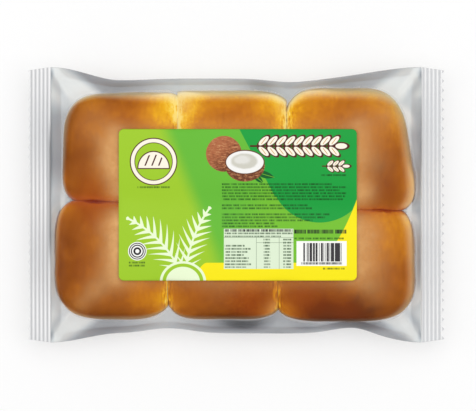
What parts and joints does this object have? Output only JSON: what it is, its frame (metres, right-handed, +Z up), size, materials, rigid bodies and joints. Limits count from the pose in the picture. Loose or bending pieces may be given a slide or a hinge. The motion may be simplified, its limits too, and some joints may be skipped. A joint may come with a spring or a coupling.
{
  "type": "pack of coconut buns",
  "caption": "Sealed clear film pack of soft joined coconut buns, lying flat, with rounded brown crusts, crimped toothed end seals and a wide printed label on top.",
  "frame": {"origin": "on the surface that the pack lies on, under the middle of its box", "axes": "+X along the pack from its left end seal to its right one, +Y to its far side, +Z up through the label"},
  "size_m": [0.27, 0.179, 0.0427],
  "materials": {
    "film": "gloss",
    "crust": "satin",
    "label": "satin"
  },
  "bodies": {
    "root": {"bag": "film", "label": "label"}
  },
  "joints": []
}
